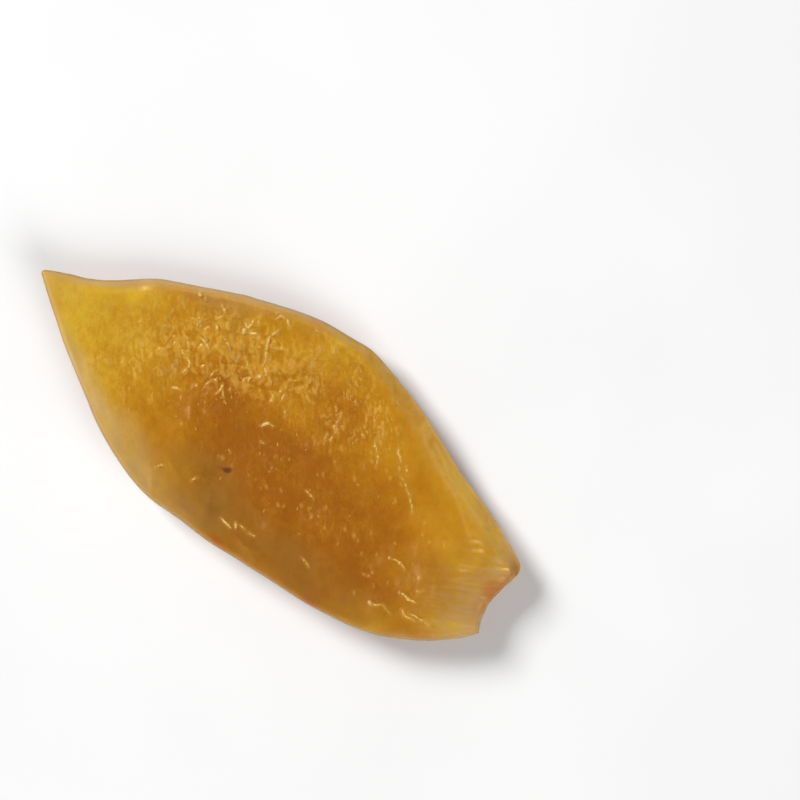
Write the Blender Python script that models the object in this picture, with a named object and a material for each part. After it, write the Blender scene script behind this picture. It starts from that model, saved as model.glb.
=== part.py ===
"""Candied lemon peel: one long quarter of a lemon's peel, lying with its pith up. Metres, +Z up.

The peel lies along X with its pointed end at -X and its trimmed end at +X. The origin is the middle of its
bounding box's base, on the flat spot that it rests on. It is one solid: the zest is its curved underside and
the pith its top, and the two long cuts and the trimmed end slope outwards from the pith down to the zest.

Until the peel is centred, x counts from where its two long cuts would meet if the point weren't rounded, and
y from the straight line between the point and the middle of the trimmed end.
"""

import math

import bmesh
import bpy
import numpy as np
from mathutils import Vector, kdtree, noise

MM = 0.001

# Driving dimensions
NOSE = 0.35 * MM  # how far the rounded point stands back from where the cuts would meet
LENGTH = 100.0 * MM + NOSE
UPPER_REACH = 22.8 * MM  # from y = 0 to the furthest place of the +Y cut
LOWER_REACH = 21.3 * MM  # and of the -Y cut, but for its sway
HEART_THICKNESS = 5.2 * MM  # zest and pith together, at the thickest place
TIP_THICKNESS = 2.3 * MM
END_THICKNESS = 3.4 * MM
ZEST_THICKNESS = 0.9 * MM  # of the upright rim below the sloping cuts
CUP_RADIUS = 38.0 * MM  # of the underside, across the peel
TIP_LIFT = 8.2 * MM  # how far the underside rises from its lowest place to each end
END_LIFT = 5.8 * MM

# Plan: where each cut reaches furthest, and how it runs from there to the two ends
UPPER_WIDEST_AT = 55.5 * MM
LOWER_WIDEST_AT = 41.0 * MM
UPPER_AT_END = 7.0 * MM
LOWER_AT_END = 6.7 * MM
UPPER_TIP_POWER, UPPER_END_POWER = 1.71, 1.21
LOWER_TIP_POWER, LOWER_END_POWER = 1.64, 5.4
TIP_HOLLOW, TIP_HOLLOW_LENGTH = 1.5 * MM, 18.3 * MM  # the +Y cut bends in beside the fruit's nipple
UPPER_SWAY = 0.3 * MM  # how far the +Y cut swings out, and then in
UPPER_SWAY_FROM, UPPER_SWAY_LENGTH = 64.0 * MM, 23.0 * MM
LOWER_SWAY = 0.56 * MM
LOWER_SWAY_FROM, LOWER_SWAY_LENGTH = 20.0 * MM, 77.5 * MM
NOTCH_DEPTH = 1.3 * MM  # the trimmed end is hollow, where the stalk was
NOTCH_LEAN = 0.7  # how much deeper it is towards -Y
CORNER_ROUND, CORNER_POWER = 2.8 * MM, 8  # of the trimmed end's +Y corner

# Lengthwise: where the peel is thickest and lowest, and how it runs from there to the two ends
THICKEST_AT = 47.0 * MM
THICK_TIP_POWER, THICK_END_POWER = 2.0, 1.9
LOWEST_AT = 52.0 * MM
LIFT_TIP_POWER, LIFT_END_POWER = 2.1, 2.0

# Across
LOWEST_ACROSS = 0.2 * MM
RIM_THINNING = 0.14  # the share of its thickness that the peel loses from its middle to a long cut
TWIST = 0.022  # slope across the peel, at each end

# The flat spot that the peel's weight and syrup leave
REST_SINK = 0.67 * MM
REST_SOFTNESS = 0.25 * MM

# Cuts: the width of each slope in plan. The +Y one gains width towards the trimmed end. Round a corner of
# that end one cut's width gives way to the other's
UPPER_CUT, UPPER_CUT_GAIN = 1.0 * MM, 2.8 * MM
GAIN_FROM, GAIN_TO = 38.0 * MM, 78.0 * MM
LOWER_CUT = 0.7 * MM
END_CUT = 0.7 * MM
END_CUT_FROM, END_CUT_TO = 6.0 * MM, 2.0 * MM  # from the trimmed end
END_CUT_WHOLE, END_CUT_GONE = 0.5, 0.9  # shares of the way from the middle to a corner
CUT_CHANGE = 0.4  # and to a long edge, each side of the middle, where the two long cuts' widths change over
ARRIS_SOFTNESS = 0.45  # of the slope's height, where it meets the pith's face
ZEST_ARRIS = 0.7 * MM

# Relief: height, length of one lump, and the layer of noise that it comes from
WAVER = (0.16 * MM, 9.0 * MM, 18.5)  # of the knife along both cuts, sideways
WAVER_FADE = 9.0 * MM  # from the point
SWELL = (0.40 * MM, 17.0 * MM, 3.1)  # of the whole peel
LUMP = (0.30 * MM, 7.5 * MM, 2.4)  # of the pith
WRINKLE = (0.15 * MM, 3.6 * MM, 6.6)
WRINKLED_FROM = (4.0 * MM, 20.0 * MM)  # where wrinkles grow
WRINKLED_TO = (70.0 * MM, 92.0 * MM)  # and where they fade
PORE = (0.16 * MM, 4.2 * MM, 5.9)  # of the zest
RELIEF_FADE = 1.6 * MM  # from the top of a cut to where the pith's relief is full
REST_FADE = 1.0 * MM  # of height above the flat spot, over which the underside's relief grows

# Mesh: squares along, across, and up the rim, crowded towards the rim by the share gathered
ALONG, ACROSS, UP = 66, 30, 2
GATHERED = 0.55
OUTLINE_STEPS = 1200

PITH_COLOUR = (0.56, 0.28, 0.035, 1.0)
PITH_ROUGHNESS = 0.28


def clear_scene():
    for item in list(bpy.data.objects):
        bpy.data.objects.remove(item)


def hill(x, at, top, start, end, powers):
    """A curve along the peel: start at its point, top where x is at, and end at the trimmed end."""
    before = top - (top - start) * np.clip((at - x) / at, 0, 1) ** powers[0]
    after = top - (top - end) * np.clip((x - at) / (LENGTH - at), 0, 1) ** powers[1]
    return np.where(x < at, before, after)


def ramp(x, low, high):
    """0 at low and before it, 1 at high and beyond it, and smooth between."""
    t = np.clip((x - low) / (high - low), 0, 1)
    return t * t * (3 - 2 * t)


def soft_max(first, second, softness):
    """The larger value, rounded off where the two cross."""
    share = np.clip(0.5 + (first - second) / (2 * softness), 0, 1)
    return second + (first - second) * share + softness * share * (1 - share)


def soft_min(first, second, softness):
    return -soft_max(-first, -second, softness)


def relief(kind, x, y):
    """Smooth lumps over the plan, from about minus to plus their height."""
    height, length, layer = kind
    spots = zip(x / length, y / length)
    return 2 * height * np.array([noise.noise(Vector((p, q, layer))) for p, q in spots])


def folds(kind, x, y):
    """Long soft wrinkles, from minus half their height in the folds to plus half of it on the crests."""
    return kind[0] / 2 - np.minimum(np.abs(relief(kind, x, y)), kind[0])


def upper_edge(x):
    waver = relief(WAVER, x, 0 * x) * ramp(x, 0, WAVER_FADE)
    sway = UPPER_SWAY * np.sin(2 * math.pi * np.clip((x - UPPER_SWAY_FROM) / UPPER_SWAY_LENGTH, 0, 1))
    hollow = TIP_HOLLOW * np.sin(math.pi * np.clip(x / TIP_HOLLOW_LENGTH, 0, 1)) ** 2
    powers = (UPPER_TIP_POWER, UPPER_END_POWER)
    return hill(x, UPPER_WIDEST_AT, UPPER_REACH, 0, UPPER_AT_END, powers) - hollow + sway + waver


def lower_edge(x):
    waver = relief(WAVER, x, 0 * x) * ramp(x, 0, WAVER_FADE)
    sway = LOWER_SWAY * np.sin(2 * math.pi * np.clip((x - LOWER_SWAY_FROM) / LOWER_SWAY_LENGTH, 0, 1))
    powers = (LOWER_TIP_POWER, LOWER_END_POWER)
    return waver - sway - hill(x, LOWER_WIDEST_AT, LOWER_REACH, 0, LOWER_AT_END, powers)


def gathered(t):
    return (1 - GATHERED) * t + GATHERED * np.sin(t * math.pi / 2)


def across_lines(v, u):
    """x at the share u of the way from the nose to the trimmed end, at v across, from -1 to 1.

    The nose is a parabola that runs on into the two cuts. The trimmed end has a notch and a round corner.
    """
    nose = NOSE * (1 + v**2)
    corner = CORNER_ROUND * np.clip(v, 0, 1) ** CORNER_POWER
    notch = NOTCH_DEPTH * (1 - v**2) * (1 - NOTCH_LEAN * v)
    end = LENGTH - notch - corner
    return nose + (end - nose) * u


def plan(a, v):
    """x and y of a unit slab's place: a along it and v across it, each from -1 to 1."""
    u = (gathered(a) + 1) / 2
    low = lower_edge(across_lines(-np.ones_like(v), u))
    high = upper_edge(across_lines(np.ones_like(v), u))
    return across_lines(v, u), low + (high - low) * (v + 1) / 2


def outline_tree():
    """Close points all along the outline, to measure from."""
    t = np.linspace(-1, 1, OUTLINE_STEPS)
    rim = np.ones_like(t)
    sides = [plan(t, rim), plan(t, -rim), plan(rim, t), plan(-rim, t)]
    tree = kdtree.KDTree(len(sides) * OUTLINE_STEPS)
    for index, (x, y) in enumerate(np.concatenate([np.transpose(side) for side in sides])):
        tree.insert(Vector((x, y, 0)), index)
    tree.balance()
    return tree


def rim_distance(x, y):
    """How far each place is from the outline, in plan."""
    tree = outline_tree()
    return np.array([tree.find(Vector((p, q, 0)))[2] for p, q in zip(x, y)])


def underside(x, y, rim):
    """Height of the zest: a shallow cup that rises to both ends, with a flat spot and a round rim."""
    lift = hill(x, LOWEST_AT, 0, TIP_LIFT, END_LIFT, (LIFT_TIP_POWER, LIFT_END_POWER))
    cup = (y - LOWEST_ACROSS) ** 2 / (2 * CUP_RADIUS)
    twist = TWIST * y * (x - LOWEST_AT) / (LENGTH / 2)
    free = lift + cup - twist
    free += relief(SWELL, x, y) * ramp(free, 0, 2 * REST_FADE)
    rested = soft_max(free - REST_SINK, 0, REST_SOFTNESS)
    pores = relief(PORE, x, y) * ramp(rested, 0, REST_FADE)
    arris = np.clip(1 - rim / ZEST_ARRIS, 0, 1)
    return rested + pores + ZEST_ARRIS / 2 * (1 - np.sqrt(1 - arris**2))


def cut_width(x, v):
    """Width in plan of the slope that is nearest to a place."""
    upper = UPPER_CUT + UPPER_CUT_GAIN * ramp(x, GAIN_FROM, GAIN_TO)
    long_cut = LOWER_CUT + (upper - LOWER_CUT) * ramp(v, -CUT_CHANGE, CUT_CHANGE)
    near_end = ramp(x, LENGTH - END_CUT_FROM, LENGTH - END_CUT_TO)
    near_end = near_end * (1 - ramp(np.abs(v), END_CUT_WHOLE, END_CUT_GONE))
    return long_cut + (END_CUT - long_cut) * near_end


def thickness(x, y, v, rim):
    """Zest and pith together: full under the pith's face, and falling to the zest's rim on a cut."""
    powers = (THICK_TIP_POWER, THICK_END_POWER)
    full = hill(x, THICKEST_AT, HEART_THICKNESS, TIP_THICKNESS, END_THICKNESS, powers)
    full = full * (1 - RIM_THINNING * v**2)
    cut = cut_width(x, v)
    rise = soft_min(rim / cut, 1, ARRIS_SOFTNESS)
    wrinkled = ramp(x, *WRINKLED_FROM) * (1 - ramp(x, *WRINKLED_TO))
    pith = (relief(LUMP, x, y) + folds(WRINKLE, x, y) * wrinkled) * ramp(rim, cut, cut + RELIEF_FADE)
    return ZEST_THICKNESS + (full - ZEST_THICKNESS) * rise + pith


def unit_slab():
    """A slab of squares from -1 to 1 in x and y and 0 to 1 in z, with its sides divided too."""
    slab = bmesh.new()
    bmesh.ops.create_grid(slab, x_segments=ALONG, y_segments=ACROSS, size=1)
    grown = bmesh.ops.extrude_face_region(slab, geom=slab.faces[:])["geom"]
    top = [part for part in grown if isinstance(part, bmesh.types.BMVert)]
    bmesh.ops.translate(slab, verts=top, vec=(0, 0, 1))
    upright = [edge for edge in slab.edges if abs(edge.verts[0].co.z - edge.verts[1].co.z) > 0.5]
    bmesh.ops.subdivide_edges(slab, edges=upright, cuts=UP - 1)
    return slab


def mould(slab):
    """Moves the slab's vertices onto the peel, and centres it in plan."""
    a, b, c = np.transpose([vertex.co for vertex in slab.verts])
    v = gathered(b)
    x, y = plan(a, v)
    rim = rim_distance(x, y)
    z = underside(x, y, rim) + c * thickness(x, y, v, rim)
    x = x - (x.min() + x.max()) / 2
    y = y - (y.min() + y.max()) / 2
    for vertex, place in zip(slab.verts, zip(x, y, z)):
        vertex.co = place


def candied_peel_material():
    material = bpy.data.materials.new("candied_peel")
    material.use_nodes = True
    shader = material.node_tree.nodes["Principled BSDF"]
    shader.inputs["Base Color"].default_value = PITH_COLOUR
    shader.inputs["Roughness"].default_value = PITH_ROUGHNESS
    shader.inputs["Metallic"].default_value = 0.0
    return material


def make_lemon_peel():
    slab = unit_slab()
    mould(slab)
    bmesh.ops.recalc_face_normals(slab, faces=slab.faces[:])
    mesh = bpy.data.meshes.new("lemon_peel")
    slab.to_mesh(mesh)
    slab.free()
    mesh.shade_smooth()
    mesh.materials.append(candied_peel_material())
    peel = bpy.data.objects.new("lemon_peel", mesh)
    bpy.context.scene.collection.objects.link(peel)


clear_scene()
make_lemon_peel()
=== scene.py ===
"""The candied lemon peel as it looks: its skin, fine relief, fibres and specks of dried pith, whose pale
tones are partly painted highlight. Metres, +Z up.

The peel's sizes and shape functions are those of its CAD source, drawn here with finer squares and with the
low relief that the solid leaves out. Places on the peel are in millimetres: x from its point, and y from the
straight line between the point and the middle of the trimmed end.
"""

import math
import random

import bmesh
import bpy
import numpy as np
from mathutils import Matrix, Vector, bvhtree, kdtree, noise


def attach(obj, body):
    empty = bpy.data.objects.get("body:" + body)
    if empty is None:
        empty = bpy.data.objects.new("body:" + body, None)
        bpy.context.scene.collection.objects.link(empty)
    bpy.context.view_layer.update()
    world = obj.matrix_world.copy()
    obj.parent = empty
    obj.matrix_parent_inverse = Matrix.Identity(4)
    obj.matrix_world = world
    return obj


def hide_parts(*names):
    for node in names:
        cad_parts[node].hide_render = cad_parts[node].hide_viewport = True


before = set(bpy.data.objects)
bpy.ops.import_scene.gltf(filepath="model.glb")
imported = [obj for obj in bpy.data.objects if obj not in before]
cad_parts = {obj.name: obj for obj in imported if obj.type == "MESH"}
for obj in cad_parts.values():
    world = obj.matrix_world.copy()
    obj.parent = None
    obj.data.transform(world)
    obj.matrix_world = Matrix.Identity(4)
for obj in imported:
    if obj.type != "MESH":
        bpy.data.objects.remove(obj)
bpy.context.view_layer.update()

MM = 0.001

# Driving dimensions, as in the CAD source
NOSE = 0.35 * MM
LENGTH = 100.0 * MM + NOSE
UPPER_REACH = 22.8 * MM
LOWER_REACH = 21.3 * MM
HEART_THICKNESS = 5.2 * MM
TIP_THICKNESS = 2.3 * MM
END_THICKNESS = 3.4 * MM
ZEST_THICKNESS = 0.9 * MM
CUP_RADIUS = 38.0 * MM
TIP_LIFT = 8.2 * MM
END_LIFT = 5.8 * MM

# Plan
UPPER_WIDEST_AT = 55.5 * MM
LOWER_WIDEST_AT = 41.0 * MM
UPPER_AT_END = 7.0 * MM
LOWER_AT_END = 6.7 * MM
UPPER_TIP_POWER, UPPER_END_POWER = 1.71, 1.21
LOWER_TIP_POWER, LOWER_END_POWER = 1.64, 5.4
TIP_HOLLOW, TIP_HOLLOW_LENGTH = 1.5 * MM, 18.3 * MM
UPPER_SWAY = 0.3 * MM
UPPER_SWAY_FROM, UPPER_SWAY_LENGTH = 64.0 * MM, 23.0 * MM
LOWER_SWAY = 0.56 * MM
LOWER_SWAY_FROM, LOWER_SWAY_LENGTH = 20.0 * MM, 77.5 * MM
NOTCH_DEPTH = 1.3 * MM
NOTCH_LEAN = 0.7
CORNER_ROUND, CORNER_POWER = 2.8 * MM, 8

# Lengthwise and across
THICKEST_AT = 47.0 * MM
THICK_TIP_POWER, THICK_END_POWER = 2.0, 1.9
LOWEST_AT = 52.0 * MM
LIFT_TIP_POWER, LIFT_END_POWER = 2.1, 2.0
LOWEST_ACROSS = 0.2 * MM
RIM_THINNING = 0.14
TWIST = 0.022
REST_SINK = 0.67 * MM
REST_SOFTNESS = 0.25 * MM

# Cuts
UPPER_CUT, UPPER_CUT_GAIN = 1.0 * MM, 2.8 * MM
GAIN_FROM, GAIN_TO = 38.0 * MM, 78.0 * MM
LOWER_CUT = 0.7 * MM
END_CUT = 0.7 * MM
END_CUT_FROM, END_CUT_TO = 6.0 * MM, 2.0 * MM
CUT_CHANGE = 0.4
END_CUT_WHOLE, END_CUT_GONE = 0.5, 0.9
ARRIS_SOFTNESS = 0.45
ZEST_ARRIS = 0.7 * MM

# Relief of the solid: height, length of one lump, and layer of noise
WAVER = (0.16 * MM, 9.0 * MM, 18.5)
WAVER_FADE = 9.0 * MM
SWELL = (0.40 * MM, 17.0 * MM, 3.1)
LUMP = (0.30 * MM, 7.5 * MM, 2.4)
WRINKLE = (0.15 * MM, 3.6 * MM, 6.6)
WRINKLED_FROM, WRINKLED_TO = (4.0 * MM, 20.0 * MM), (70.0 * MM, 92.0 * MM)
PORE = (0.16 * MM, 4.2 * MM, 5.9)
RELIEF_FADE = 1.6 * MM
REST_FADE = 1.0 * MM

# Mesh: squares along, across and up the rim; those of the pith's face are cut in four
ALONG, ACROSS, UP = 220, 86, 3
GATHERED = 0.12
OUTLINE_STEPS = 2400

# Fine relief of the pith, drawn out in the direction that the peel was scraped in
SCRAPED = math.radians(-54)
RIDGE = (0.07 * MM, 2.4 * MM, 1.2 * MM, 4.4)  # height, length, width and layer of noise
SMOOTH_RELIEF = 0.3  # the share of it that is left where the pith is smooth
CRUMPLE = (0.17 * MM, 2.7 * MM, 1.5 * MM, 3.3)  # of the torn pith
CREASE = (0.10 * MM, 1.5 * MM, 0.85 * MM, 8.1)
DASH = (0.10 * MM, 1.7 * MM, 0.8 * MM, 9.2)
CRUMB = (0.15 * MM, 1.2 * MM, 0.8 * MM, 12.6)
CREST_SHARPNESS = 2.4
DASH_FROM, DASH_TO = 0.1, 0.65  # of the noise that the dashes come from
DASHED_LEAST = 0.35  # the share of the dashes that is left between the places that are more dashed
BEND = (0.9 * MM, 4.5 * MM, 6.1)
CRUMPLED, CREASED, DASHED = (3.0 * MM, 1.3), (3.0 * MM, 7.4), (2.6 * MM, 5.3)  # places: size and layer
PLACED_FROM, PLACED_TO = -0.35, 0.45  # of the noise that such places come from
CREST_OF_CREASE, CREST_OF_CRUMB, CREST_OF_FOLD = 0.7, 0.7, 0.6  # how pale, against a crumple's crest; the paleness is partly painted highlight
FRAY = (0.11 * MM, 9.0 * MM, 0.8 * MM, 2.7)  # lines that run to the trimmed end
FRAYED_FROM, FRAYED_TO = 84.0 * MM, 94.0 * MM
FRAYED_TURN = math.radians(30)
DIMPLE = (0.07 * MM, 1.9 * MM, 7.7)  # of the zest: height, length, layer

# Places on the peel: middle, reach along and across, turn in degrees, and amount
# How deep the pith's amber is: partly its own colour where it is thickest, and partly painted shade of a dark
# ground seen through the middle
COLOUR_DEPTH = 0.06
COLOUR_PATCHES = {
    "heart": ((59, -7), (40, 17), 0, 0.88),
    "middle": ((44, -1), (26, 14), 0, 0.18),
    "gold above the heart": ((34, 9.5), (21, 12), 0, 0.44),
    "left of the middle": ((36, 0), (9, 7), 0, 0.13),
    "low left": ((29, -12), (12, 6), -20, 0.22),
    "left of the heart": ((40, -8), (7, 6), 0, -0.12),
    "shoulder": ((63, 12.5), (23, 12), -20, 0.43),
    "below the shoulder": ((54, 10), (15, 7), 0, 0.28),
    "lower edge": ((59, -19), (26, 8), 0, 0.43),
    "towards the end": ((84, 3), (18, 11), -10, 0.25),
    "bottom of the end": ((79, -14), (16, 7), 22, 0.29),
    "bottom corner": ((91, -15), (8, 5), 25, 0.50),
    "before the end": ((89, -5), (8, 6), 0, 0.12),
    "upper edge": ((41.5, 19.5), (9, 5), 0, 0.32),
    "below the upper right band": ((82, 8), (14, 4.5), -26, 0.13),
    "corner of the end": ((97, 4), (6, 7), 0, 0.15),
    "left": ((21, -2), (15, 11), 0, 0.2),
}
PALLOR_PATCHES = {
    "point": ((0, 0), (12, 8), 0, 0.2),
    "upper edge of the point": ((9, 5.5), (12, 2.2), 28, 0.5),
    "lower left band": ((19, -14.5), (22, 5.5), -31, 0.9),
    "left bend": ((30, -18), (12, 7), -28, 0.7),
    "lower edge of the left": ((41, -21), (14, 6), -8, 0.5),
    "trimmed end": ((100, -5), (11.5, 12.5), 0, 1.0),
    "corner of the end": ((98, 5), (6, 6), 0, 0.6),
    "upper right band": ((84, 15), (26, 6), -26, 0.18),
    "upper edge of the left": ((29, 14.6), (11, 2.6), 22, 0.45),
    "upper left edge": ((13, 8.5), (14, 3.5), 32, 0.55),
    "upper edge": ((44, 22), (30, 5), 12, 0.12),
}
GRAIN = 0.05
GRAIN_PATCHES = {
    "upper middle": ((36, 8.5), (19, 11.5), 20, 0.95),
    "below the shoulder": ((50, 9), (15, 10), 0, 0.35),
    "left of the heart": ((44, -6), (14, 10), 0, 0.15),
    "left": ((24, 0), (11, 9), -20, 0.42),
    "near the end": ((88, -10), (8, 5), 0, 0.15),
}
DASHES = 0.03
DASH_PATCHES = {
    "shoulder": ((55, 13), (19, 11), -8, 1.0),
    "middle": ((55, -4), (30, 14), 0, 0.3),
    "upper left": ((28, 8), (16, 9), 20, 0.5),
    "left": ((22, -4), (13, 9), -20, 0.72),
}
CREAMY_PATCHES = {
    "left": ((10, -8), (24, 16), -20, 1.0),
    "lower left": ((28, -15), (14, 9), -30, 0.6),
    # painted light: the upper corner of the end is paler where it falls away from the main light
    "upper corner of the end": ((97, 7), (7, 5), -26, 0.3),
    "lower corner of the end": ((94, -16), (10, 4), 20, 0.6),
    "low end": ((99, -8), (5, 5), 0, 0.4),
}
# Darker olive places: partly the pith's own sallow tone and partly painted shade, as along the lower edge and
# over the trimmed end
SALLOW_AND_SHADE_PATCHES = {
    "below the upper edge": ((31, 12.5), (7, 4.5), 20, 0.35),
    "upper edge": ((37, 20), (8, 4), 18, 0.35),
    "lower edge": ((68, -18.5), (38, 9), 0, 0.5),
    "by the smudge": ((44, -15), (13, 9), 0, 0.45),
    "trimmed end": ((97, -1), (13, 15), 0, 0.35),
    "before the end": ((88, -6), (10, 9), 0, 0.2),
}
# A smudge of stain, and painted shade, in the stain's colour, on the rim of the trimmed end
STAIN_AND_SHADE_PATCHES = {
    "smudge": ((45.5, -13.4), (3.0, 6.0), 30, 0.16),
    "smudge's edge": ((43.5, -12.5), (3.0, 2.4), 0, 0.12),
    "dark of the smudge": ((49.0, -16.6), (2.0, 1.5), 0, 0.28),
    # painted shade on the rim of the trimmed end
    "rim of the end": ((98.7, 2.5), (1.8, 7.0), 8, 0.12),
}
SPOT_PATCHES = {
    "brown spot": ((47.0, -9.6), (1.15, 0.75), 36, 1.0),
    "brown spot's tail": ((45.9, -9.9), (1.0, 0.5), 10, 0.5),
}
BLUSH_PATCHES = {
    "left of the edge": ((53.0, -20.6), (2.8, 1.1), -12, 0.85),
    "right of the edge": ((72.4, -19.6), (2.4, 1.0), -8, 0.85),
    "of the trimmed end": ((97.4, 0.9), (3.0, 2.4), 0, 0.55),
}
LIP_PATCHES = {
    "upper right": ((93, 10), (11, 7), -25, 0.9),
    "lower right": ((92, -15), (13, 6), 20, 0.9),
}
PAINTED = {
    "depth": (COLOUR_DEPTH, COLOUR_PATCHES),
    "pallor": (0, PALLOR_PATCHES),
    "sallow_and_shade": (0, SALLOW_AND_SHADE_PATCHES),
    "stain_and_shade": (0, STAIN_AND_SHADE_PATCHES),
    "spot": (0, SPOT_PATCHES),
    "blush": (0, BLUSH_PATCHES),
    "lip": (0, LIP_PATCHES),
}
OVAL_CORE = 1 / 3  # of an oval's reach, within which its amount is whole
COARSE_LEFT = 0.42  # how coarse the creamy left is
PIT_DEPTH = 0.03 * MM  # of the brown spot
CUT_FROM, CUT_TO = 0.5, 1.2  # of a cut's width, where its looks give way to those of the pith's face
CUT_DASHED_LESS, CUT_FINE_LESS = 0.7, 0.6  # how much less dashed and how much lower the relief is on a cut
ZEST_TO, PITH_FROM = 0.34, 0.72  # of the way up the rim, where the zest's colour ends and the pith's begins
PITH_RELIEF_FROM = 0.5  # and where the pith's relief begins
# Painted shade, in a warm brown, along the rim of the trimmed end
END_SHADE_FROM, END_SHADE_TO = 0.4 * MM, 3.0 * MM  # from the trimmed end
END_SHADE_ACROSS, CORNER_ACROSS = (-1.0, 0.0), (0.6, 1.0)  # across, where that grows and where it fades
CORNER_END_SHADE_LESS = 0.7
# Painted shade along the outermost rim of the pith
RIM_SHADE_WIDTH = 0.5 * MM
BRINK_FROM, BRINK_TO = 0.3 * MM, 2.2 * MM  # from the outline, where the dry edge of the pith fades
BARE_BRINK = ((66, -20), (36, 9), 0)  # where the pith has no dry edge
BARE_SHARE = 0.88
SHADED_EDGE = ((27, -16), (16, 10), -35)  # painted shade: where the outermost edge of the pith is greyer
SHADED_EDGE_FROM, SHADED_EDGE_TO = 0.3 * MM, 1.5 * MM

# Fibres that stand out of the pith: the pixels of the photograph, 800 by 800, that each passes through, and
# its thickness in millimetres
FIBRES = {
    "curl": (
        ((180.5, 346), (182, 351), (184.5, 356), (188, 360.5),
         (189, 364), (187.5, 367.5), (185, 369), (182, 373)),
        0.34,
    ),
    "beside the curl": (((187, 338), (188, 346)), 0.28),
    "hook": (((199, 337), (203, 340), (205.5, 343), (208, 347), (209.5, 351)), 0.36),
    "hook's branch": (((206, 342), (208.5, 338)), 0.28),
    "above the hook": (((216.5, 325), (217.5, 329), (218.5, 333)), 0.4),
    "left of it": (((199, 316), (200, 320), (202.5, 326)), 0.4),
    "beside that": (((197.5, 322), (196.5, 329)), 0.3),
    "first of the upper edge": (((201.5, 291), (201, 295), (201, 299)), 0.42),
    "beside the first": (((206, 297), (206, 303)), 0.42),
    "second of the upper edge": (((216.5, 299.5), (220, 297.5)), 0.36),
    "below the upper edge": (((222, 305), (224, 309), (227, 314)), 0.5),
    "slope": (((223.5, 337), (227, 342), (229, 347), (231, 353), (234, 356)), 0.32),
    "tuft": (((242, 332), (245, 330), (248, 329.5)), 0.5),
    "tuft's second": (((243, 329), (246, 332), (250, 332.5)), 0.36),
    "tuft's left": (((238, 331), (242, 333), (246, 333)), 0.42),
    "tuft's top": (((245, 322), (247, 326), (248, 329)), 0.4),
    "tuft's head": (((248, 329), (250.5, 326), (253, 323), (254, 320)), 0.42),
    "beside the tuft": (((259, 320), (259.5, 325)), 0.36),
    "tuft's right": (((249, 334), (253, 333.5), (257, 334), (260, 338)), 0.45),
    "tuft's foot": (((248, 337), (251, 341)), 0.42),
    "long": (
        ((279.5, 329.5), (277, 332), (273, 335), (269.5, 338), (268, 342),
         (267, 348), (266, 354), (265.5, 359), (264, 363.5), (261.5, 366.5)),
        0.4,
    ),
    "long one's branch": (((269, 345), (272, 345)), 0.26),
    "long one's second": (((267, 359), (270, 356)), 0.3),
    "arch": (
        ((276, 320), (279, 318.5), (281.5, 317), (285, 318.5),
         (288, 320.5), (289.5, 324), (290, 328.5)),
        0.5,
    ),
    "knot": (((257, 379), (259, 377), (260, 374.5)), 0.55),
    "beside the knot": (((252, 377), (249, 378.5), (247, 381), (243, 381.5)), 0.4),
    "over the knot": (((264, 368), (266, 372), (264.5, 376)), 0.44),
    "low line": (((209, 377), (211.5, 374), (214, 371.5), (217.5, 370)), 0.34),
    "orange line": (((231, 371), (233, 375), (236.5, 380)), 0.3),
    "thin one": (((244, 357.5), (246.5, 362), (248, 367)), 0.28),
    "low fork": (((222.5, 384), (221, 388), (218, 392), (214.5, 394.5)), 0.42),
    "low fork's branch": (((222, 389), (223, 397)), 0.34),
    "left patch": (((171, 387), (176, 388), (180, 390)), 0.5),
    "shoulder": (((317.5, 329.5), (318.5, 333.5)), 0.5),
    "middle": (((260.5, 427), (263, 425), (266.5, 423.5), (270, 424.5), (273.5, 427)), 0.45),
    "under the middle": (((260.5, 442), (264, 444)), 0.4),
    "bright one": (((272.5, 397), (270.5, 402)), 0.6),
    "its neighbour": (((281, 390), (278.5, 394.5)), 0.4),
    "below it": (((285, 410), (284, 416)), 0.4),
    "right streak": (((399, 449), (398, 453), (400, 457), (401, 462.5)), 0.4),
    "right streak's second": (((406.5, 468), (407.5, 476)), 0.28),
    "right streak's foot": (
        ((401, 478), (404.5, 482), (406.5, 488), (408.5, 494),
         (410.5, 500.5), (412, 507), (412.5, 514)),
        0.34,
    ),
    "beside the streak": (((400, 484), (403, 486)), 0.5),
    "broad streak": (((375, 442), (376, 449), (377.5, 456), (376.5, 464)), 0.6),
    "heart's line": (((306, 491), (310, 495.5), (313, 499.5)), 0.34),
    "over the smudge": (((222, 517), (224.5, 520.5), (229, 524.5), (232, 528)), 0.34),
    "star": (((236.5, 522), (236.5, 528)), 0.42),
    "star's tail": (((240, 524), (246, 529)), 0.26),
    "beyond the smudge": (((249.5, 532.5), (252.5, 534), (256, 536)), 0.4),
    "lower edge": (((301.5, 556.5), (304, 559), (307, 562.5), (309, 566)), 0.4),
    "fold before the end": (((391, 559), (397, 561), (401.5, 564.5), (405, 569.5)), 0.4),
    "first of the end": (((401, 592.5), (405, 595), (409, 599), (413, 600.5), (417, 603)), 0.42),
    "second of the end": (((402, 609), (404.5, 614), (408.5, 616.5), (414, 619)), 0.36),
    "third of the end": (((409, 612.5), (415, 615), (421, 619), (426, 621.5), (429.5, 623)), 0.36),
    "fourth of the end": (((371, 601), (376, 604), (382, 603.5), (386, 607.5), (390, 612.5)), 0.3),
    "left edge": (((158, 466.5), (161.5, 465), (165, 464.5)), 0.5),
    "above the smudge": (((193, 480), (195, 478.5), (198, 477.5)), 0.42),
    "above the first of the end": (((418, 591.5), (423, 591)), 0.4),
    "before the end": (((364, 574), (369, 576)), 0.36),
    "burr of the upper cut": (((499.5, 532), (501.5, 529), (504, 526.5)), 0.4),
}

# The fibres' pale tones are partly their own colour and partly painted highlight
PALEST = (
    "curl", "hook", "tuft", "tuft's head", "tuft's right", "tuft's top", "long", "arch", "knot",
    "over the knot", "star", "over the smudge", "right streak", "middle", "first of the end",
    "second of the end",
)
PALE, LESS_PALE = 0.92, 0.6

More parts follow.
